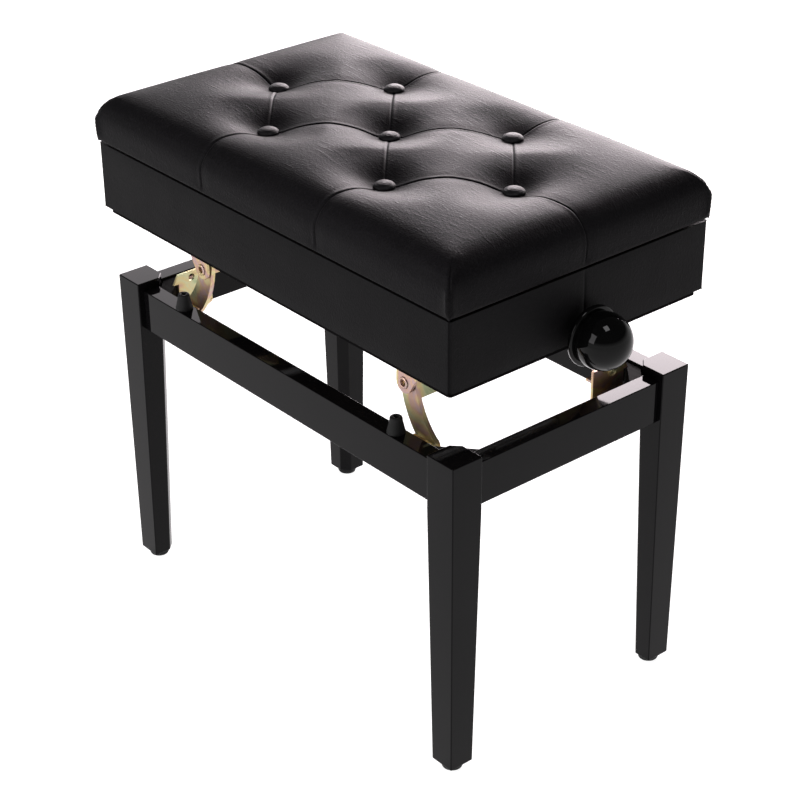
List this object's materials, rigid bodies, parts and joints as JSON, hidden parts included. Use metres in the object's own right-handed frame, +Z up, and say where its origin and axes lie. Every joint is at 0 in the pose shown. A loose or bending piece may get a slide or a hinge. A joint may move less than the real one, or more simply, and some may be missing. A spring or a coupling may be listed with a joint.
{
  "type": "piano bench",
  "caption": "Height-adjustable piano bench with a tufted lift-up lid over a shallow music compartment, raised and lowered by side knobs on a steel scissor lift.",
  "frame": {"origin": "on the floor, under the middle of the bench", "axes": "+X along the bench towards the right knob, +Y to the back where the lid hinge is, +Z up"},
  "size_m": [0.662, 0.3348, 0.566],
  "materials": {
    "black_lacquer": "high gloss black lacquer on wood",
    "black_stained_wood": "satin black stain",
    "plywood": "plain sanded plywood",
    "black_leatherette": "fine grained black leatherette over board",
    "seat_leatherette": "fine grained black leatherette over foam",
    "yellow_zinc": "yellow passivated zinc plate, iridescent",
    "plain_steel": "turned bright steel",
    "black_rubber": "matt moulded rubber",
    "black_gloss_plastic": "polished black ball knob"
  },
  "bodies": {
    "base": {"leg_front_left": "black_lacquer", "foot_front_left": "black_rubber", "corner_brace_front_left": "black_stained_wood", "bumper_front_left": "black_rubber", "base_bracket_front_left": "yellow_zinc", "leg_front_right": "black_lacquer", "foot_front_right": "black_rubber", "corner_brace_front_right": "black_stained_wood", "bumper_front_right": "black_rubber", "base_bracket_front_right": "yellow_zinc", "leg_back_left": "black_lacquer", "foot_back_left": "black_rubber", "corner_brace_back_left": "black_stained_wood", "bumper_back_left": "black_rubber", "base_bracket_back_left": "yellow_zinc", "leg_back_right": "black_lacquer", "foot_back_right": "black_rubber", "corner_brace_back_right": "black_stained_wood", "bumper_back_right": "black_rubber", "base_bracket_back_right": "yellow_zinc", "rail_front": "black_lacquer", "rail_back": "black_lacquer", "rail_left": "black_lacquer", "rail_right": "black_lacquer"},
    "seat": {"box_board_front": "black_leatherette", "box_board_back": "black_leatherette", "box_board_left": "black_leatherette", "box_board_right": "black_leatherette", "seat_bracket_left": "yellow_zinc", "seat_bracket_right": "yellow_zinc", "compartment_floor": "plywood", "bottom_frame": "black_stained_wood", "hinge_leaf_lower": "plain_steel", "hinge_pin": "plain_steel"},
    "lid": {"lid_board": "plywood", "hinge_leaf_upper": "plain_steel", "cushion": "seat_leatherette", "button_1": "seat_leatherette", "button_2": "seat_leatherette", "button_3": "seat_leatherette", "button_4": "seat_leatherette", "button_5": "seat_leatherette", "button_6": "seat_leatherette", "button_7": "seat_leatherette"},
    "spindle": {"spindle": "plain_steel", "knob_left": "black_gloss_plastic", "knob_right": "black_gloss_plastic"},
    "arms_left": {"lift_frame_left": "yellow_zinc"},
    "links_left": {"link_front_left": "yellow_zinc", "link_rivet_front_left": "yellow_zinc", "link_back_left": "yellow_zinc", "link_rivet_back_left": "yellow_zinc"},
    "nut_left": {"nut_left": "plain_steel"},
    "arms_right": {"lift_frame_right": "yellow_zinc"},
    "links_right": {"link_front_right": "yellow_zinc", "link_rivet_front_right": "yellow_zinc", "link_back_right": "yellow_zinc", "link_rivet_back_right": "yellow_zinc"},
    "nut_right": {"nut_right": "plain_steel"}
  },
  "joints": [
    {"name": "seat_lift", "type": "slide", "parent": "base", "child": "seat", "axis": [0, 0, 1], "range_m": [-0.066, 0]},
    {"name": "lid_hinge", "type": "hinge", "parent": "seat", "child": "lid", "pos_m": [0, 0.1659, 0.5115], "axis": [-1, 0, 0], "range_deg": [0, 100]},
    {"name": "spindle_spin", "type": "hinge", "parent": "seat", "child": "spindle", "pos_m": [0, 0, 0.447], "axis": [1, 0, 0], "range_deg": [-3570.24, 0]},
    {"name": "arm_swing_left", "type": "hinge", "parent": "base", "child": "arms_left", "pos_m": [-0.194, 0, 0.332], "axis": [0, 1, 0], "range_deg": [0, 39.89]},
    {"name": "link_swing_left", "type": "hinge", "parent": "seat", "child": "links_left", "pos_m": [-0.194, 0, 0.447], "axis": [0, 1, 0], "range_deg": [-39.89, 0]},
    {"name": "nut_run_left", "type": "slide", "parent": "seat", "child": "nut_left", "axis": [1, 0, 0], "range_m": [0, 0.05951]},
    {"name": "arm_swing_right", "type": "hinge", "parent": "base", "child": "arms_right", "pos_m": [0.194, 0, 0.332], "axis": [0, 1, 0], "range_deg": [-39.89, 0]},
    {"name": "link_swing_right", "type": "hinge", "parent": "seat", "child": "links_right", "pos_m": [0.194, 0, 0.447], "axis": [0, 1, 0], "range_deg": [0, 39.89]},
    {"name": "nut_run_right", "type": "slide", "parent": "seat", "child": "nut_right", "axis": [1, 0, 0], "range_m": [-0.05951, 0]}
  ],
  "couplings": [
    {"joint": "spindle_spin", "follows": "seat_lift", "rad_per_m": 944.13},
    {"joint": "arm_swing_left", "follows": "seat_lift", "rad_per_m": -10.547},
    {"joint": "link_swing_left", "follows": "seat_lift", "rad_per_m": 10.547},
    {"joint": "nut_run_left", "follows": "seat_lift", "ratio": -0.90158},
    {"joint": "arm_swing_right", "follows": "seat_lift", "rad_per_m": 10.547},
    {"joint": "link_swing_right", "follows": "seat_lift", "rad_per_m": -10.547},
    {"joint": "nut_run_right", "follows": "seat_lift", "ratio": 0.90158}
  ]
}
